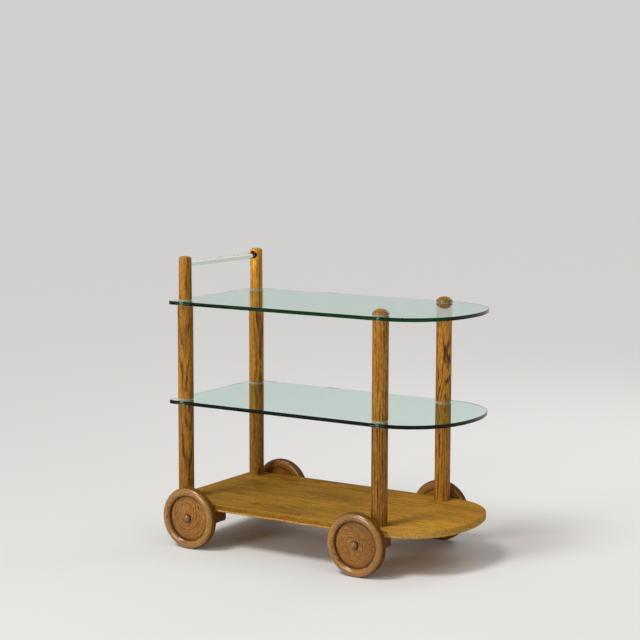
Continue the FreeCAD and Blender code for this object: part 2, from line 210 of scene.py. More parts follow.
class BarCartClear(bpy.types.PropertyGroup):
    """Glass, clear rod, washers and metal."""

    glass_absorb: colour_property(
        "Glass tint", "Light that a thickness of glass lets through", (0.54, 0.865, 0.765)
    )
    glass_density: strength_property("Glass density", "Absorption for each metre of glass", 48.0)
    glass_mirror: colour_property(
        "Glass mirror", "Tint of what the glass mirrors head-on", (0.30, 0.46, 0.38)
    )
    rod_tint: colour_property("Rod tint", "Light that the clear rod lets through", (0.74, 0.81, 0.75))
    washer: colour_property("Washer", "Milky clear washers beside the glass", (0.72, 0.66, 0.56))
    steel: colour_property("Steel", "Plated steel of the screws and studs", (0.60, 0.60, 0.57))


class BarCartStage(bpy.types.PropertyGroup):
    """Camera, light and floor."""

    camera_place: FloatVectorProperty(
        name="Camera place", description="Where the camera stands", default=(2.2850, -3.7150, 1.1421),
        size=3, subtype="TRANSLATION", unit="LENGTH",
    )
    camera_yaw: angle_property("Camera yaw", "Turn of the view to the left of +Y", 32.205)
    camera_pitch: angle_property("Camera pitch", "How far the view looks down", 7.047)
    camera_roll: angle_property("Camera roll", "Tilt of the camera about its view", 0.163)
    camera_lens: strength_property("Lens", "Focal length in millimetres on a 36 mm sensor", 95.23)
    floor_colour: colour_property("Floor", "Plain pale floor", (0.84, 0.83, 0.81))
    floor_radius: length_property("Floor radius", "Half the width of the round floor", 40.0)
    floor_sides: IntProperty(name="Floor sides", description="Edges round the floor", default=96, min=3)
    sky_colour: colour_property("Backdrop", "Plain pale backdrop behind the floor", (0.639, 0.631, 0.616))
    sky_light: strength_property("Sky light", "Even light from all round", 0.34)
    sun_strength: strength_property("Sun", "Even light from above the left front", 1.60)
    sun_spread: angle_property("Sun spread", "Width of the even light, which softens its shadows", 18.0)
    key_power: power_property("Key power", "Soft light at the left front", 13.0)
    fill_power: power_property("Fill power", "Weak light at the right front", 5.0)
    rim_power: power_property("Rim power", "Soft light above the right back", 10.0)


class Graph:
    """Short calls that add nodes to one shader tree."""

    def __init__(self, tree):
        self.tree = tree

    def node(self, kind, **settings):
        """Adds a node with its settings."""
        made = self.tree.nodes.new(kind)
        for name, value in settings.items():
            setattr(made, name, value)
        return made

    def feed(self, value, socket):
        """Links a socket, or sets a plain value."""
        if isinstance(value, bpy.types.NodeSocket):
            self.tree.links.new(value, socket)
        else:
            socket.default_value = value

    def fill(self, node, **values):
        """Feeds a node's named inputs, with underscores for their spaces."""
        for name, value in values.items():
            self.feed(value, node.inputs[name.replace("_", " ")])

    def place(self):
        """Object coordinates."""
        return self.node("ShaderNodeTexCoord").outputs["Object"]

    def parts(self, vector):
        """The three numbers of a vector."""
        made = self.node("ShaderNodeSeparateXYZ")
        self.feed(vector, made.inputs[0])
        return made.outputs

    def math(self, operation, first, second=0.0, clamp=False):
        """One sum of two numbers."""
        made = self.node("ShaderNodeMath", operation=operation, use_clamp=clamp)
        self.feed(first, made.inputs[0])
        self.feed(second, made.inputs[1])
        return made.outputs[0]

    def line(self, value, slope, start):
        """A straight rise from a start."""
        return self.math("ADD", self.math("MULTIPLY", value, slope), start)

    def vector(self, operation, first, second=(0.0, 0.0, 0.0)):
        """One sum of two vectors."""
        made = self.node("ShaderNodeVectorMath", operation=operation)
        self.feed(first, made.inputs[0])
        self.feed(second, made.inputs[1])
        return made.outputs["Value" if operation == "LENGTH" else "Vector"]

    def scaled(self, vector, scale):
        """A vector times a number."""
        made = self.node("ShaderNodeVectorMath", operation="SCALE")
        self.feed(vector, made.inputs[0])
        self.feed(scale, made.inputs["Scale"])
        return made.outputs["Vector"]

    def noise(self, vector, cells, detail=2.0, output="Fac"):
        """Noise with a number of cells for each metre along each axis."""
        made = self.node("ShaderNodeTexNoise")
        self.fill(made, Vector=self.vector("MULTIPLY", vector, cells), Scale=1.0, Detail=detail)
        return made.outputs[output]

    def chance(self, number):
        """A random value and colour for each whole number."""
        made = self.node("ShaderNodeTexWhiteNoise", noise_dimensions="1D")
        self.feed(number, made.inputs["W"])
        return made.outputs

    def step(self, value, low, high, start=0.0, end=1.0):
        """A smooth rise from start at low to end at high."""
        made = self.node("ShaderNodeMapRange", interpolation_type="SMOOTHSTEP")
        self.fill(made, Value=value, From_Min=low, From_Max=high, To_Min=start, To_Max=end)
        return made.outputs["Result"]

    def mix(self, factor, first, second, blend="MIX"):
        """One colour laid over another."""
        made = self.node("ShaderNodeMix", data_type="RGBA", blend_type=blend)
        sockets = {socket.identifier: socket for socket in (*made.inputs, *made.outputs)}
        self.feed(factor, sockets["Factor_Float"])
        self.feed(first, sockets["A_Color"])
        self.feed(second, sockets["B_Color"])
        return sockets["Result_Color"]

    def grey(self, value):
        """A number as a grey colour."""
        made = self.node("ShaderNodeCombineColor")
        for socket in made.inputs:
            self.feed(value, socket)
        return made.outputs["Color"]

    def either(self, factor, first, second):
        """One shader or another."""
        made = self.node("ShaderNodeMixShader")
        for value, socket in zip((factor, first, second), made.inputs):
            self.feed(value, socket)
        return made.outputs["Shader"]


def start_group(name, inputs, outputs):
    """An empty node group with its sockets, its graph and both ends."""
    group = bpy.data.node_groups.new(name, "ShaderNodeTree")
    for socket_name, kind in inputs:
        group.interface.new_socket(name=socket_name, in_out="INPUT", socket_type=kind)
    for socket_name, kind in outputs:
        group.interface.new_socket(name=socket_name, in_out="OUTPUT", socket_type=kind)
    graph = Graph(group)
    return group, graph, graph.node("NodeGroupInput").outputs, graph.node("NodeGroupOutput").inputs


def oak_grain_group():
    """Growth rings, pores and fibres of oak round a pith that runs along Z of the vector."""
    known = bpy.data.node_groups.get("oak_grain")
    if known:
        return known
    group, graph, given, out = start_group(
        "oak_grain",
        (
            ("Vector", "NodeSocketVector"),
            ("Ring Width", "NodeSocketFloat"),
            ("Open Share", "NodeSocketFloat"),
            ("Wander", "NodeSocketFloat"),
            ("Figure", "NodeSocketFloat"),
            ("Late Wood", "NodeSocketColor"),
            ("Early Wood", "NodeSocketColor"),
            ("Pore", "NodeSocketColor"),
        ),
        (("Color", "NodeSocketColor"), ("Roughness", "NodeSocketFloat"), ("Height", "NodeSocketFloat")),
    )
    place = given["Vector"]

    # Rings that wave along the trunk, some years stronger than others
    waves = graph.noise(place, LOG_WAVES, output="Color")
    waves = graph.vector("SUBTRACT", waves, (MIDDLE, MIDDLE, MIDDLE))
    waved = graph.vector("ADD", place, graph.scaled(waves, given["Wander"]))
    radius = graph.vector("LENGTH", graph.vector("MULTIPLY", waved, ROUND_Z))
    ripple = graph.math("SUBTRACT", graph.noise(place, RING_RIPPLES, detail=3.0), MIDDLE)
    age = graph.math("DIVIDE", radius, given["Ring Width"])
    years = graph.math("ADD", age, graph.math("MULTIPLY", ripple, RIPPLE_YEARS))
    season = graph.math("FRACT", years)
    opening = graph.step(season, YEAR_START, given["Open Share"], 1.0, 0.0)
    closing = graph.step(season, *YEAR_END_RISE)
    early = graph.math("MAXIMUM", opening, closing)
    weight = graph.line(graph.chance(graph.math("FLOOR", years))["Value"], YEAR_RANGE, WEAKEST_YEAR)
    broken = graph.step(graph.noise(place, RING_BREAKS), *RING_BREAK_RISE)
    early = graph.math("MULTIPLY", graph.math("MULTIPLY", early, weight), broken)

    # Long pores that crowd into the early wood, short pores everywhere, and pale flecks of ray
    dashes = graph.step(graph.noise(place, LONG_PORES), *LONG_PORE_RISE)
    dashes = graph.math("MULTIPLY", dashes, graph.math("ADD", early, LONG_PORES_OUTSIDE))
    pores = graph.step(graph.noise(place, SHORT_PORES), *SHORT_PORE_RISE)
    pores = graph.math("MULTIPLY", pores, graph.line(early, SHORT_PORES_EARLY, SHORT_PORES_OUTSIDE))
    rays = graph.step(graph.noise(graph.vector("ADD", place, RAY_SHIFT), RAY_FLECKS), *RAY_RISE)
    fibre = graph.math("SUBTRACT", graph.noise(place, FIBRES, detail=3.0), MIDDLE)
    drift = graph.noise(graph.vector("ADD", place, DRIFT_SHIFT), COLOUR_DRIFT)

    # Colour, gloss and depth
    depth = graph.math("MULTIPLY", graph.math("MULTIPLY", early, EARLY_WOOD_SHADE), given["Figure"])
    depth = graph.math("ADD", depth, graph.math("MULTIPLY", fibre, FIBRE_SHADE), clamp=True)
    colour = graph.mix(depth, given["Late Wood"], given["Early Wood"])
    dark = graph.math("MULTIPLY", graph.math("MAXIMUM", dashes, pores), given["Figure"], clamp=True)
    colour = graph.mix(graph.math("MULTIPLY", dark, PORE_SHADE), colour, given["Pore"])
    flecks = graph.line(rays, given["Figure"], 1.0)
    tone = graph.math("MULTIPLY", graph.step(drift, *DRIFT_RISE), flecks)
    graph.feed(graph.mix(1.0, colour, graph.grey(tone), "MULTIPLY"), out["Color"])
    rough = graph.line(dark, PORE_ROUGHNESS, graph.math("MULTIPLY", fibre, FIBRE_ROUGHNESS))
    graph.feed(graph.math("ADD", rough, WOOD_ROUGHNESS), out["Roughness"])
    hollow = graph.math("ADD", dark, graph.math("MULTIPLY", early, EARLY_WOOD_HOLLOW))
    graph.feed(graph.math("SUBTRACT", 1.0, hollow), out["Height"])
    return group


def wear_and_light_group():
    """Paler, scuffed wood along an edge, for wear and for painted light."""
    known = bpy.data.node_groups.get("wear_and_light_edges")
    if known:
        return known
    group, graph, given, out = start_group(
        "wear_and_light_edges",
        (
            ("Vector", "NodeSocketVector"),
            ("Edge", "NodeSocketFloat"),
            ("Color", "NodeSocketColor"),
            ("Bare Wood", "NodeSocketColor"),
            ("Roughness", "NodeSocketFloat"),
        ),
        (("Color", "NodeSocketColor"), ("Roughness", "NodeSocketFloat")),
    )
    scuffs = graph.step(graph.noise(given["Vector"], SCUFFS, detail=4.0), *SCUFF_RISE)
    bare = graph.math("MULTIPLY", given["Edge"], scuffs)
    graph.feed(graph.mix(bare, given["Color"], given["Bare Wood"]), out["Color"])
    graph.feed(graph.line(bare, BARE_ROUGHNESS, given["Roughness"]), out["Roughness"])
    return group


def smudge_group():
    """Faint finger marks and dust on a polished clear surface."""
    known = bpy.data.node_groups.get("smudges")
    if known:
        return known
    group, graph, given, out = start_group(
        "smudges",
        (("Vector", "NodeSocketVector"), ("Clean", "NodeSocketFloat"), ("Soiled", "NodeSocketFloat")),
        (("Roughness", "NodeSocketFloat"), ("Mask", "NodeSocketFloat")),
    )
    marks = graph.step(graph.noise(given["Vector"], FINGER_MARKS, detail=4.0), *FINGER_MARK_RISE)
    specks = graph.step(graph.noise(given["Vector"], SPECKS, detail=1.0), *SPECK_RISE)
    mask = graph.math("MAXIMUM", graph.math("MULTIPLY", marks, FINGER_MARK_STRENGTH), specks)
    spread = graph.math("SUBTRACT", given["Soiled"], given["Clean"])
    graph.feed(graph.line(mask, spread, given["Clean"]), out["Roughness"])
    graph.feed(mask, out["Mask"])
    return group


def start_material(name):
    """A material with only a Principled shader, its graph and its output."""
    material = bpy.data.materials.new(name)
    material.use_nodes = True
    material.node_tree.nodes.clear()
    graph = Graph(material.node_tree)
    shader = graph.node("ShaderNodeBsdfPrincipled")
    output = graph.node("ShaderNodeOutputMaterial")
    graph.fill(output, Surface=shader.outputs["BSDF"])
    return material, graph, shader, output


def placed_group(graph, group, **values):
    """Puts a node group into a graph with its own values."""
    made = graph.node("ShaderNodeGroup")
    made.node_tree = group
    graph.fill(made, **values)
    return made.outputs


def linear(colour):
    """A colour property with its alpha, for a node socket."""
    return (*colour, 1.0)


def grain_place(graph, centre, along, pith, turn=0.0, lean=0.0, bow=0.0):
    """Object coordinates turned so that the grain runs along Z, with the piece's centre beside the pith.
    The log leans away from its pith along the grain, and bows away to both ends."""
    turned = GRAIN_ALONG[along].to_matrix() @ Euler((0.0, turn, 0.0)).to_matrix()
    mapping = graph.node("ShaderNodeMapping")
    graph.fill(mapping, Vector=graph.place(), Location=-(turned @ centre), Rotation=turned.to_euler())
    local = mapping.outputs["Vector"]
    run = graph.parts(local)["Z"]
    slope = graph.line(run, bow, lean)
    outward = Vector((pith[0], pith[1], 0.0)).normalized()
    moved = graph.vector("ADD", local, graph.scaled(outward, graph.math("MULTIPLY", slope, run)))
    return graph.vector("ADD", moved, pith)


def emboss(graph, shader, height, strength, relief):
    """Raises a surface by a height, over a given relief in metres."""
    bump = graph.node("ShaderNodeBump")
    graph.fill(bump, Strength=strength, Distance=relief, Height=height)
    graph.fill(shader, Normal=bump.outputs["Normal"])


def oak_grain(graph, oak, place, late, early, ring, wander, figure, open_share=OPEN_SHARE):
    """The oak's grain with one piece's own values."""
    return placed_group(
        graph, oak_grain_group(), Vector=place, Ring_Width=ring, Open_Share=open_share, Wander=wander,
        Figure=figure, Late_Wood=linear(late), Early_Wood=linear(early), Pore=linear(oak.pore),
    )


def varnish(graph, shader, grain, relief, shine, coat, coat_roughness):
    """Varnished wood from a grain group's outputs."""
    graph.fill(shader, Base_Color=grain["Color"], Roughness=grain["Roughness"])
    graph.fill(shader, IOR=VARNISH_INDEX, Specular_IOR_Level=shine, Coat_Roughness=coat_roughness)
    graph.fill(shader, Coat_Weight=coat(graph) if callable(coat) else coat)
    emboss(graph, shader, grain["Height"], PORE_STRENGTH, relief)


def lay_wear_and_light(graph, shader, oak, colour, roughness, edge):
    """Lays paler, scuffed wood over a colour along an edge: wear, which is partly painted sheen on the
    wheels' crests and partly painted light on the deck's nose, and a pale band low on the deck's sides.
    """
    paled = placed_group(
        graph, wear_and_light_group(), Vector=graph.place(), Edge=edge, Color=colour,
        Bare_Wood=linear(oak.wear_and_light_colour), Roughness=roughness,
    )
    graph.fill(shader, Base_Color=paled["Color"], Roughness=paled["Roughness"])


def oak_material(
    name, oak, place_of, late, early, ring, wander, figure, open_share=OPEN_SHARE,
    stain_of=None, edge_of=None, coat=None, coat_roughness=None,
):
    """Varnished oak with its own place in the log, darkened by painted shade where a mask is given (and by
    dirt too on the wheels' treads), and paler along given edges: wear, which on the wheels' crests is partly
    a painted sheen.
    """
    material, graph, shader, _ = start_material(name)
    if coat is None:
        coat = oak.varnish
        coat_roughness = oak.varnish_roughness
    grain = oak_grain(graph, oak, place_of(graph), late, early, ring, wander, figure, open_share)
    varnish(graph, shader, grain, TURNED_RELIEF, oak.shine, coat, coat_roughness)
    colour = grain["Color"]
    # Painted shade, with dirt on the wheels' treads: the wood darkens towards the pore colour where the mask
    # says.
    if stain_of:
        colour = graph.mix(stain_of(graph), colour, linear(oak.pore))
        graph.fill(shader, Base_Color=colour)
    if edge_of:
        lay_wear_and_light(graph, shader, oak, colour, grain["Roughness"], edge_of(graph))
    return material


def distance_from(graph, point, directions):
    """Distance from a point, in the directions that count."""
    away = graph.vector("SUBTRACT", graph.place(), point)
    return graph.vector("LENGTH", graph.vector("MULTIPLY", away, directions))


def middle_of(node):
    """Middle of a node's box."""
    low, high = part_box(node)
    return (low + high) / 2.0


def dress(node, material):
    """Gives a node its only material."""
    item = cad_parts[node]
    if item.material_slots:
        for held in item.material_slots:
            held.material = material
    else:
        item.data.materials.append(material)


def post_material(
    node, oak, pith, lean, bow, wander, figure, tone, stain_of=None, coat=None, coat_roughness=None
):
    """Oak dowel with its pith beside it and rubbed ends."""
    low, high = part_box(node)
    centre = (low + high) / 2.0
    end = (high.z - low.z) / 2.0

    def ends(graph):
        """Bare wood at both ends of the dowel."""
        away = distance_from(graph, centre, ALONG_Z)
        return graph.step(away, end - END_WEAR_START, end - END_WEAR_FULL, 0.0, END_WEAR)

    # The tone scales both colours of the wood, painted light and shade included.
    return oak_material(
        "oak_" + node, oak, lambda graph: grain_place(graph, centre, "Z", pith, lean=lean, bow=bow),
        Vector(oak.post_light) * tone, Vector(oak.post_dark) * tone, oak.post_ring, wander, figure,
        stain_of=stain_of, edge_of=ends, coat=coat, coat_roughness=coat_roughness,
    )


class BARCART_OT_posts(bpy.types.Operator):
    """Gives every turned post its own cut of oak"""

    bl_idname = "bar_cart.posts"
    bl_label = "Posts"

    # Dowel beside its pith, lean, bow and wander of the log, strength of its rings and lightness of its wood.
    # The lightness is partly the wood's own tone and partly painted light and shade: high for the handle post
    # at the left, on which the light falls strongly, and low for the lower rear posts and the lower front
    # right post, which stand in shade under the shelves.
    cuts = {
        "lower_post_rear_left": ((0.040, -0.045, 0.3), 0.02, 0.2, 0.020, 1.10, 0.76),
        "lower_post_rear_right": ((0.052, -0.036, 1.1), 0.03, 0.1, 0.018, 1.10, 0.84),
        "lower_post_front_left": ((-0.062, -0.048, 2.3), 0.01, 0.1, 0.012, 1.15, 1.15),
        "lower_post_front_right": ((0.066, 0.058, 3.7), 0.00, 0.1, 0.008, 1.25, 0.78),
        "middle_post_rear_left": ((0.058, -0.018, 4.1), 0.02, 0.2, 0.014, 1.10, 1.34),
        "middle_post_rear_right": ((0.022, -0.060, 5.6), 0.04, 0.2, 0.020, 1.00, 1.02),
        "middle_post_front_left": ((0.024, -0.026, 6.2), -0.02, 0.55, 0.042, 1.30, 1.32),
        "middle_post_front_right": ((0.077, 0.048, 7.9), 0.00, 0.1, 0.006, 1.25, 1.05),
        "handle_post_left": ((0.062, 0.046, 8.4), 0.03, 0.3, 0.012, 1.00, 2.20),
        "handle_post_right": ((0.030, -0.066, 9.3), 0.03, 0.3, 0.016, 1.10, 1.22),
    }

    # Axis of the rod's sockets below the tops of the handle posts, and their ends from the middle of the cart
    socket_below_top = 0.018
    socket_end = 0.168

    # Shade inside the sockets, its way out at their ends, and its fall at their walls
    socket_shade = 0.9
    socket_edge = 0.002
    socket_wall = (0.0104, 0.0112, 1.0, 0.0)

    def socket_painted_shade(self, graph):
        """Painted shade inside the sockets of the handle rod."""
        hole = middle_of("handle_rod")
        hole.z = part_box("handle_post_left")[1].z - self.socket_below_top
        deep = distance_from(graph, hole, ALONG_Y)
        inner = graph.step(deep, self.socket_end, self.socket_end + self.socket_edge, self.socket_shade, 0.0)
        radius = distance_from(graph, hole, ROUND_Y)
        return graph.math("MULTIPLY", inner, graph.step(radius, *self.socket_wall))

    def execute(self, context):
        oak = context.scene.bar_cart_oak
        for node, cut in self.cuts.items():
            stain_of = self.socket_painted_shade if node.startswith("handle") else None
            dress(node, post_material(node, oak, *cut, stain_of=stain_of))
        return {"FINISHED"}


class BARCART_OT_caps(bpy.types.Operator):
    """Gives the two domed caps their oak"""

    bl_idname = "bar_cart.caps"
    bl_label = "Caps"

    # The same values as for the posts
    cuts = {
        "front_cap_left": ((0.028, 0.019, 10.5), 0.00, 0.0, 0.012, 1.10, 0.87),
        "front_cap_right": ((-0.022, 0.019, 11.5), 0.00, 0.0, 0.012, 1.10, 0.87),
    }

    def execute(self, context):
        oak = context.scene.bar_cart_oak
        for node, cut in self.cuts.items():
            material = post_material(
                node, oak, *cut, coat=oak.cap_varnish, coat_roughness=oak.wheel_roughness
            )
            dress(node, material)
        return {"FINISHED"}


class BARCART_OT_deck(bpy.types.Operator):
    """Gives the deck its glued boards of oak"""

    bl_idname = "bar_cart.deck"
    bl_label = "Deck"

    # Each board's least height above the pith, the range of that, and its shifts across and along the log
    least_height = 0.055
    height_range = 0.05
    shift_across = 0.05
    shift_along = 9.0

    # Number of the board beside the middle, and the wander and strength of the rings
    middle_board = 7.0
    wander = 0.022
    figure = 0.75

    # The sides, from the top face down and from the underside up, their painted shade, and the pits in them
    side_from_top = (0.0008, 0.0035)
    side_from_underside = (0.0008, 0.0002)
    side_shade = 0.45
    pit_cells = (260.0, 260.0, 150.0)
    pit_rise = (0.52, 0.68)
    pit_shade = 0.5
    pit_left_dark = 0.7

    # Painted light that lightens the deck towards its nose, with some real fading, from its middle; bare wood
    # on the nose's sides, partly wear and partly painted light; and a pale band below the top face
    fade = (-0.05, 0.34, 0.91, 1.36)
    nose_wear_and_light = (0.20, 0.34, 0.0, 0.70)
    pale_lower_band = (0.0125, 0.0145)

    def boards(self, graph, oak, place):
        """Grain of the boards, each a flat cut some way above the pith, shifted along and across the log."""
        parts = graph.parts(place)
        across = graph.math("DIVIDE", parts["Y"], oak.board_width)
        board = graph.math("ADD", graph.math("FLOOR", across), self.middle_board)
        chance = graph.node("ShaderNodeSeparateColor")
        graph.feed(graph.chance(board)["Color"], chance.inputs[0])
        height = graph.line(chance.outputs["Red"], self.height_range, self.least_height)
        inside = graph.math("SUBTRACT", graph.math("FRACT", across), MIDDLE)
        inside = graph.math("MULTIPLY", inside, oak.board_width)
        aside = graph.math("SUBTRACT", chance.outputs["Green"], MIDDLE)
        aside = graph.math("MULTIPLY", aside, self.shift_across)
        joined = graph.node("ShaderNodeCombineXYZ")
        along = graph.line(chance.outputs["Blue"], self.shift_along, parts["Z"])
        aside = graph.math("ADD", inside, aside)
        graph.fill(joined, X=graph.math("ADD", parts["X"], height), Y=aside, Z=along)
        return oak_grain(
            graph, oak, joined.outputs["Vector"], oak.deck_light, oak.deck_dark, oak.deck_ring,
            self.wander, self.figure,
        )

    def painted_light_and_wear(self, graph, shader, oak, place, grain):
        """Sides darkened by painted shade and pitted, wood lightened towards the nose by painted light with
        some fading, and bare edges there that are partly painted light, with a pale band low on the sides.
        """
        low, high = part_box("deck")
        thickness = high.z - low.z
        parts = graph.parts(place)
        below = graph.math("ADD", parts["X"], thickness / 2.0)
        start, full = self.side_from_underside
        side = graph.step(below, thickness - start, thickness - full, 1.0, 0.0)
        side = graph.math("MULTIPLY", graph.step(below, *self.side_from_top), side)
        # Painted shade: the sides are darkened towards the early wood.
        shaded = graph.math("MULTIPLY", side, self.side_shade)
        colour = graph.mix(shaded, grain["Color"], linear(oak.deck_dark))
        pits = graph.step(graph.noise(place, self.pit_cells, detail=3.0), *self.pit_rise)
        pitted = graph.math("MULTIPLY", pits, graph.math("MULTIPLY", side, self.pit_shade))
        colour = graph.mix(pitted, colour, linear(oak.pore))
        # Painted light, with some real fading: the wood grows lighter towards the nose.
        lit_and_faded = graph.grey(graph.step(parts["Z"], *self.fade))
        colour = graph.mix(1.0, colour, lit_and_faded, "MULTIPLY")
        # Bare wood on the nose's sides, partly wear and partly painted light, and a pale band low on every
        # side.
        nose = graph.math("MULTIPLY", graph.step(parts["Z"], *self.nose_wear_and_light), side)
        lower = graph.math("MULTIPLY", graph.step(below, *self.pale_lower_band), side)
        unpitted = graph.math("SUBTRACT", 1.0, graph.math("MULTIPLY", pits, self.pit_left_dark))
        edge = graph.math("MULTIPLY", graph.math("MAXIMUM", lower, nose), unpitted)
        lay_wear_and_light(graph, shader, oak, colour, grain["Roughness"], edge)

    def execute(self, context):
        oak = context.scene.bar_cart_oak
        material, graph, shader, _ = start_material("oak_deck_boards")
        place = grain_place(graph, middle_of("deck"), "X", (0.0, 0.0, 0.0))
        grain = self.boards(graph, oak, place)
        varnish(graph, shader, grain, DECK_RELIEF, oak.deck_shine, oak.deck_varnish, oak.varnish_roughness)
        self.painted_light_and_wear(graph, shader, oak, place, grain)
        dress("deck", material)
        return {"FINISHED"}


class BARCART_OT_wheels(bpy.types.Operator):
    """Gives each turned wheel a flat cut of oak, so that its rings show as contour lines"""

    bl_idname = "bar_cart.wheels"
    bl_label = "Wheels"

    # Turn of each wheel's grain in degrees, its pith behind it, place along the log, lean and bow of the log
    turns = {
        "rear_left": (24.0, 0.13, 0.4, 0.06, 2.9),
        "rear_right": (-10.0, 0.15, 1.9, -0.10, 2.2),
        "front_left": (71.0, 0.12, 3.2, 0.05, 3.1),
        "front_right": (52.0, 0.075, 4.7, -0.10, 5.0),
    }
    pith_aside = 0.006
    wander = 0.009
    figure = 1.15
    open_share = 0.36

    # Distances from the axle where the coat and colour change, and the strengths there; the peg and groove
    # rows are painted shadow and shade, the crest rows paint sheen along with handling wear, and the tread's
    # dirt also paints the shade of its outer edge
    peg_shadow = (0.0108, 0.0132, 0.65, 0.0)
    groove_inner = (0.0561, 0.0576)
    groove_outer = (0.0585, 0.0622, 0.72, 0.0)
    rim_start = (0.0570, 0.0620)
    crest_inner = (0.0620, 0.0680, 0.0, 0.20)
    crest_outer = (0.0745, 0.0785, 1.0, 0.0)
    coat_end = (0.0770, 0.0805, 1.0, 0.0)
    tread_dirt_and_shade = (0.0782, 0.0806, 0.0, 0.50)

    def polish(self, graph, centre, oak):
        """Clear coat that handling has polished on the rim and rolling has worn off its tread."""
        radius = distance_from(graph, centre, ROUND_Y)
        polished = graph.step(radius, *self.rim_start, oak.wheel_varnish, oak.rim_varnish)
        return graph.math("MULTIPLY", polished, graph.step(radius, *self.coat_end))

    def crest_wear_and_sheen(self, graph, centre):
        """Paler wood along the crest of the rim: partly handling wear, partly a painted sheen."""
        radius = distance_from(graph, centre, ROUND_Y)
        rising = graph.step(radius, *self.crest_inner)
        return graph.math("MULTIPLY", rising, graph.step(radius, *self.crest_outer))

    def stain(self, graph, centre):
        """Painted shade in the groove inside the rim, a painted shadow round the peg, and dirt on the tread
        that also paints the shade of its outer edge.
        """
        radius = distance_from(graph, centre, ROUND_Y)
        rising = graph.step(radius, *self.groove_inner)
        groove = graph.math("MULTIPLY", rising, graph.step(radius, *self.groove_outer))
        hollows = graph.math("MAXIMUM", groove, graph.step(radius, *self.peg_shadow))
        return graph.math("MAXIMUM", hollows, graph.step(radius, *self.tread_dirt_and_shade))

    def execute(self, context):
        oak = context.scene.bar_cart_oak
        for corner, (turn, depth, place, lean, bow) in self.turns.items():
            node = "wheel_" + corner
            centre = middle_of(node)
            pith = (self.pith_aside, math.copysign(depth, -centre.y), place)
            material = oak_material(
                "oak_" + node, oak,
                lambda graph: grain_place(graph, centre, "Z", pith, math.radians(turn), lean, bow),
                oak.wheel_light, oak.wheel_dark, oak.wheel_ring, self.wander, self.figure, self.open_share,
                stain_of=lambda graph: self.stain(graph, centre),
                edge_of=lambda graph: self.crest_wear_and_sheen(graph, centre),
                coat=lambda graph: self.polish(graph, centre, oak),
                coat_roughness=oak.wheel_roughness,
            )
            dress(node, material)
        return {"FINISHED"}


class BARCART_OT_axles(bpy.types.Operator):
    """Gives the axle blocks, pegs and spacers their oak"""

    bl_idname = "bar_cart.axles"
    bl_label = "Axles"

    # Pith beside each piece, the way along the log from one corner's piece to the next, and the figure
    block_pith = (0.031, 0.044)
    block_shift = 1.3
    peg_pith = (0.021, 0.012)
    peg_shift = 0.9
    wander = 0.014
    figure = 0.75
    spacer_pith = (0.05, 0.04, 0.0)
    spacer_wander = 0.012
    spacer_figure = 0.7

    # Distances from the axle where the edge of a peg's head darkens with painted shade, and the strengths
    # there
    head_shade = (0.0070, 0.0105, 0.0, 0.60)

    def stain(self, graph, centre):
        """Painted shade round the edge of a peg's head, which makes its dome look round."""
        return graph.step(distance_from(graph, centre, ROUND_Y), *self.head_shade)

    def axle_oak(self, node, oak, pith, ring, wander, figure, **finish):
        """Oak with its grain along the axle."""
        centre = middle_of(node)
        material = oak_material(
            "oak_" + node, oak, lambda graph: grain_place(graph, centre, "Y", pith),
            oak.block_light, oak.block_dark, ring, wander, figure, **finish,
        )
        dress(node, material)

    def execute(self, context):
        oak = context.scene.bar_cart_oak
        for turn, corner in enumerate(CORNERS):
            pith = (*self.block_pith, self.block_shift * turn)
            self.axle_oak("axle_block_" + corner, oak, pith, oak.post_ring, self.wander, self.figure)
            peg = "axle_peg_" + corner
            pith = (*self.peg_pith, self.peg_shift * turn)
            self.axle_oak(
                peg, oak, pith, oak.wheel_ring, self.wander, self.figure,
                stain_of=lambda graph: self.stain(graph, middle_of(peg)),
                coat=oak.rim_varnish, coat_roughness=oak.wheel_roughness,
            )
        self.axle_oak(
            "wheel_spacers", oak, self.spacer_pith, oak.post_ring, self.spacer_wander, self.spacer_figure
        )
        return {"FINISHED"}


def let_lamps_through(graph, shader, output, tint):
    """Clear pieces pass lamp light on to what they shade."""
    passing = graph.node("ShaderNodeBsdfTransparent")
    graph.fill(passing, Color=tint)
    shadow = graph.node("ShaderNodeLightPath").outputs["Is Shadow Ray"]
    surface = graph.either(shadow, shader.outputs["BSDF"], passing.outputs["BSDF"])
    graph.fill(output, Surface=surface)


def soil(graph, shader, clean, soiled):
    """Roughens a clear surface with finger marks and dust, and gives where they are."""
    smudges = placed_group(graph, smudge_group(), Vector=graph.place(), Clean=clean, Soiled=soiled)
    graph.fill(shader, Roughness=smudges["Roughness"])
    return smudges["Mask"]


class BARCART_OT_shelves(bpy.types.Operator):
    """Gives both shelves clear green-edged glass"""

    bl_idname = "bar_cart.shelves"
    bl_label = "Glass shelves"

    index = 1.52
    clean_roughness = 0.0
    soiled_roughness = 0.035
    shadow_tint = (1.0, 0.87, 0.89, 1.0)

    def execute(self, context):
        clear = context.scene.bar_cart_clear
        material, graph, shader, output = start_material("shelf_glass")
        graph.fill(shader, Base_Color=WHITE, Transmission_Weight=1.0, IOR=self.index)
        graph.fill(shader, Specular_Tint=linear(clear.glass_mirror))
        soil(graph, shader, self.clean_roughness, self.soiled_roughness)
        absorb = graph.node("ShaderNodeVolumeAbsorption")
        graph.fill(absorb, Color=linear(clear.glass_absorb), Density=clear.glass_density)
        graph.fill(output, Volume=absorb.outputs["Volume"])
        let_lamps_through(graph, shader, output, self.shadow_tint)
        for node in SHELVES:
            dress(node, material)
        return {"FINISHED"}


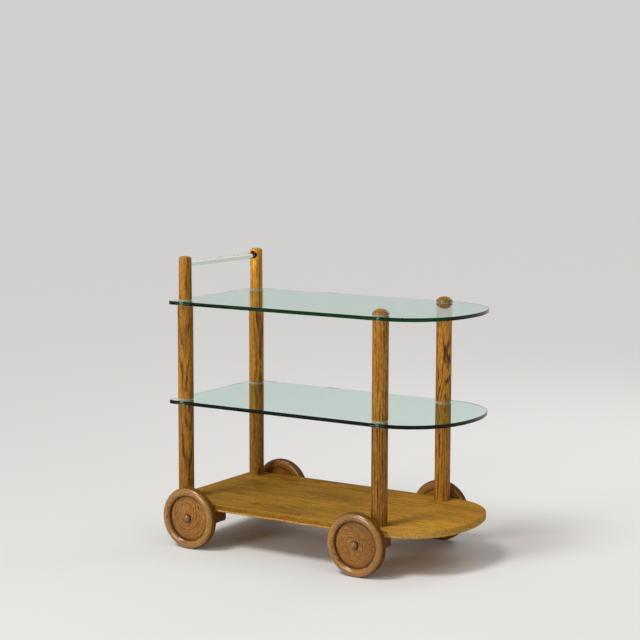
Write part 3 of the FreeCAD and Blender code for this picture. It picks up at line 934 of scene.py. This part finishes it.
class BARCART_OT_rod(bpy.types.Operator):
    """Gives the handle rod its clear plastic with faint draw lines"""

    bl_idname = "bar_cart.rod"
    bl_label = "Handle rod"

    index = 1.49
    clean_roughness = 0.01
    soiled_roughness = 0.07
    draw_line_cells = (500.0, 5.0, 500.0)
    draw_line_strength = 0.05
    draw_line_relief = 0.0002
    shadow_tint = (0.86, 0.88, 0.86, 1.0)

    def execute(self, context):
        clear = context.scene.bar_cart_clear
        material, graph, shader, output = start_material("clear_rod")
        graph.fill(shader, Base_Color=linear(clear.rod_tint), Transmission_Weight=1.0, IOR=self.index)
        soil(graph, shader, self.clean_roughness, self.soiled_roughness)
        lines = graph.noise(graph.place(), self.draw_line_cells)
        emboss(graph, shader, lines, self.draw_line_strength, self.draw_line_relief)
        let_lamps_through(graph, shader, output, self.shadow_tint)
        dress("handle_rod", material)
        return {"FINISHED"}


class BARCART_OT_washers(bpy.types.Operator):
    """Gives the washers and sleeves beside the glass their milky clear plastic"""

    bl_idname = "bar_cart.washers"
    bl_label = "Washers"

    nodes = (
        "middle_shelf_lower_washers", "middle_shelf_upper_washers", "top_shelf_lower_washers",
        "handle_post_washers", "cap_washers", "middle_shelf_sleeves", "top_shelf_sleeves",
    )
    index = 1.5
    clearness = 0.25
    clean_roughness = 0.22
    soiled_roughness = 0.45
    soiled_tint = (0.70, 0.70, 0.64, 1.0)
    moulding_cells = (400.0, 400.0, 400.0)
    moulding_strength = 0.10
    moulding_relief = 0.0001

    def execute(self, context):
        clear = context.scene.bar_cart_clear
        material, graph, shader, _ = start_material("clear_washers")
        soiled = soil(graph, shader, self.clean_roughness, self.soiled_roughness)
        tint = graph.mix(soiled, linear(clear.washer), self.soiled_tint)
        graph.fill(shader, Base_Color=tint, Transmission_Weight=self.clearness, IOR=self.index)
        moulding = graph.noise(graph.place(), self.moulding_cells)
        emboss(graph, shader, moulding, self.moulding_strength, self.moulding_relief)
        for node in self.nodes:
            dress(node, material)
        return {"FINISHED"}


class BARCART_OT_fasteners(bpy.types.Operator):
    """Gives the screws, studs and steel washers their plating"""

    bl_idname = "bar_cart.fasteners"
    bl_label = "Fasteners"

    nodes = (
        "middle_shelf_studs", "handle_studs", "cap_studs", "deck_screws", "deck_screw_washers",
        "axle_block_screws",
    )
    cloud_cells = (260.0, 260.0, 260.0)
    dull_rise = (0.35, 0.7)
    dull_tint = (0.46, 0.44, 0.38, 1.0)
    roughness_rise = (0.3, 0.75, 0.26, 0.46)
    plating_cells = (900.0, 900.0, 900.0)
    plating_strength = 0.10
    plating_relief = 0.0001

    def execute(self, context):
        clear = context.scene.bar_cart_clear
        material, graph, shader, _ = start_material("plated_steel")
        place = graph.place()
        cloud = graph.noise(place, self.cloud_cells, detail=3.0)
        tint = graph.mix(graph.step(cloud, *self.dull_rise), linear(clear.steel), self.dull_tint)
        rough = graph.step(cloud, *self.roughness_rise)
        graph.fill(shader, Base_Color=tint, Roughness=rough, Metallic=1.0)
        plating = graph.noise(place, self.plating_cells)
        emboss(graph, shader, plating, self.plating_strength, self.plating_relief)
        for node in self.nodes:
            dress(node, material)
        return {"FINISHED"}


def left_out_of_lamps(nodes):
    """Clear pieces that mirror no lamp, only the floor and the backdrop."""
    left_out = bpy.data.collections.new("left_out_of_lamps")
    for node in nodes:
        left_out.objects.link(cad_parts[node])
    for item in left_out.collection_objects:
        item.light_linking.link_state = "EXCLUDE"
    return left_out


def place_lamp(lamp, place, target, left_out):
    """Puts a light at a place, facing a point, and keeps its bright image out of some pieces."""
    holder = bpy.data.objects.new(lamp.name, lamp)
    holder.location = place
    holder.rotation_euler = (target - place).to_track_quat("-Z", "Y").to_euler()
    holder.light_linking.receiver_collection = left_out
    bpy.context.scene.collection.objects.link(holder)


def soft_lamp(name, power, width, spread, place, target, left_out):
    """A square soft light that faces a point, with the spread of its beam in degrees."""
    lamp = bpy.data.lights.new(name, "AREA")
    lamp.shape = "SQUARE"
    lamp.size = width
    lamp.spread = math.radians(spread)
    lamp.energy = power
    place_lamp(lamp, place, target, left_out)


class BARCART_OT_stage(bpy.types.Operator):
    """Sets the floor, the light and the camera"""

    bl_idname = "bar_cart.stage"
    bl_label = "Stage"

    # Places of the lamps from the middle of the cart, to the right of the view, away from it and up
    sun_place = (-1.2, -0.9, 2.2)
    key_place = (-2.63, -2.45, 0.80)
    fill_place = (1.3, -2.4, 0.9)
    rim_place = (1.7, 1.5, 1.7)

    # Point above the middle that the key light faces, widths of the lamps, and spreads of their beams
    key_aim = (0.0, 0.0, 0.5)
    key_width = 1.15
    key_spread = 90.0
    lamp_width = 1.2
    lamp_spread = 180.0

    def execute(self, context):
        stage = context.scene.bar_cart_stage
        scene = context.scene
        scene.view_settings.view_transform = "Standard"
        self.set_floor(scene, stage)
        self.set_sky(scene, stage)
        self.set_lamps(stage)
        self.set_camera(scene, stage)
        return {"FINISHED"}

    def set_floor(self, scene, stage):
        """A round pale floor without gloss that can be looked through from below."""
        shape = bmesh.new()
        bmesh.ops.create_circle(shape, cap_ends=True, radius=stage.floor_radius, segments=stage.floor_sides)
        mesh = bpy.data.meshes.new("floor")
        shape.to_mesh(mesh)
        shape.free()
        floor = bpy.data.objects.new("floor", mesh)
        scene.collection.objects.link(floor)
        material, graph, shader, output = start_material("pale_floor")
        graph.fill(shader, Base_Color=linear(stage.floor_colour), Specular_IOR_Level=0.0)
        below = graph.node("ShaderNodeNewGeometry").outputs["Backfacing"]
        clear = graph.node("ShaderNodeBsdfTransparent").outputs["BSDF"]
        graph.fill(output, Surface=graph.either(below, shader.outputs["BSDF"], clear))
        mesh.materials.append(material)

    def set_sky(self, scene, stage):
        """Even light, and a plain backdrop for what is seen directly, mirrored or through glass."""
        world = bpy.data.worlds.new("studio")
        scene.world = world
        world.use_nodes = True
        world.node_tree.nodes.clear()
        graph = Graph(world.node_tree)
        light = graph.node("ShaderNodeBackground")
        graph.fill(light, Color=WHITE, Strength=stage.sky_light)
        seen = graph.node("ShaderNodeBackground")
        graph.fill(seen, Color=linear(stage.sky_colour))
        path = graph.node("ShaderNodeLightPath").outputs
        mirrored = graph.math("MAXIMUM", path["Is Glossy Ray"], path["Is Transmission Ray"])
        direct = graph.math("MAXIMUM", path["Is Camera Ray"], mirrored)
        output = graph.node("ShaderNodeOutputWorld")
        surface = graph.either(direct, light.outputs["Background"], seen.outputs["Background"])
        graph.fill(output, Surface=surface)

    def set_lamps(self, stage):
        """An even light above the left front, and soft ones below it, at the right front and at the back."""
        middle = (cad_box[0] + cad_box[1]) / 2.0
        view = Matrix.Rotation(stage.camera_yaw, 3, "Z")
        left_out = left_out_of_lamps(SHELVES)
        sun = bpy.data.lights.new("sun_light", "SUN")
        sun.energy = stage.sun_strength
        sun.angle = stage.sun_spread
        place_lamp(sun, middle + view @ Vector(self.sun_place), middle, left_out)
        place = middle + view @ Vector(self.key_place)
        aim = middle + Vector(self.key_aim)
        soft_lamp("key_light", stage.key_power, self.key_width, self.key_spread, place, aim, left_out)
        others = (
            ("fill_light", stage.fill_power, self.fill_place),
            ("rim_light", stage.rim_power, self.rim_place),
        )
        for name, power, offset in others:
            place = middle + view @ Vector(offset)
            soft_lamp(name, power, self.lamp_width, self.lamp_spread, place, middle, left_out)

    def set_camera(self, scene, stage):
        """The camera at the photographed view."""
        camera = bpy.data.cameras.new("camera")
        camera.lens = stage.camera_lens
        holder = bpy.data.objects.new("camera", camera)
        holder.location = stage.camera_place
        level = math.radians(90.0)
        aim = Matrix.Rotation(stage.camera_yaw, 3, "Z")
        aim @= Matrix.Rotation(level - stage.camera_pitch, 3, "X")
        aim @= Matrix.Rotation(stage.camera_roll, 3, "Z")
        holder.rotation_euler = aim.to_euler()
        scene.collection.objects.link(holder)
        scene.camera = holder


class BARCART_PT_panel(bpy.types.Panel):
    """Lists the pieces, the stage and their settings"""

    bl_idname = "BARCART_PT_panel"
    bl_label = "Bar Cart"
    bl_space_type = "VIEW_3D"
    bl_region_type = "UI"
    bl_category = "Bar Cart"

    def draw(self, context):
        for operator in OPERATORS:
            self.layout.operator(operator.bl_idname)
        for group in SETTINGS:
            settings = getattr(context.scene, group)
            box = self.layout.box()
            for name in settings.__annotations__:
                box.prop(settings, name)


SETTINGS = {"bar_cart_oak": BarCartOak, "bar_cart_clear": BarCartClear, "bar_cart_stage": BarCartStage}
OPERATORS = (
    BARCART_OT_posts,
    BARCART_OT_caps,
    BARCART_OT_deck,
    BARCART_OT_wheels,
    BARCART_OT_axles,
    BARCART_OT_shelves,
    BARCART_OT_rod,
    BARCART_OT_washers,
    BARCART_OT_fasteners,
    BARCART_OT_stage,
)
CLASSES = (*SETTINGS.values(), *OPERATORS, BARCART_PT_panel)


def register():
    """Registers the classes and adds their settings to the scene."""
    for item in CLASSES:
        bpy.utils.register_class(item)
    for name, settings in SETTINGS.items():
        setattr(bpy.types.Scene, name, PointerProperty(type=settings))


def unregister():
    """Takes the settings and the classes away again."""
    for name in SETTINGS:
        delattr(bpy.types.Scene, name)
    for item in reversed(CLASSES):
        bpy.utils.unregister_class(item)


def main():
    """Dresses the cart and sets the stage."""
    register()
    bpy.ops.bar_cart.posts()
    bpy.ops.bar_cart.caps()
    bpy.ops.bar_cart.deck()
    bpy.ops.bar_cart.wheels()
    bpy.ops.bar_cart.axles()
    bpy.ops.bar_cart.shelves()
    bpy.ops.bar_cart.rod()
    bpy.ops.bar_cart.washers()
    bpy.ops.bar_cart.fasteners()
    bpy.ops.bar_cart.stage()


if __name__ == "__main__":
    main()
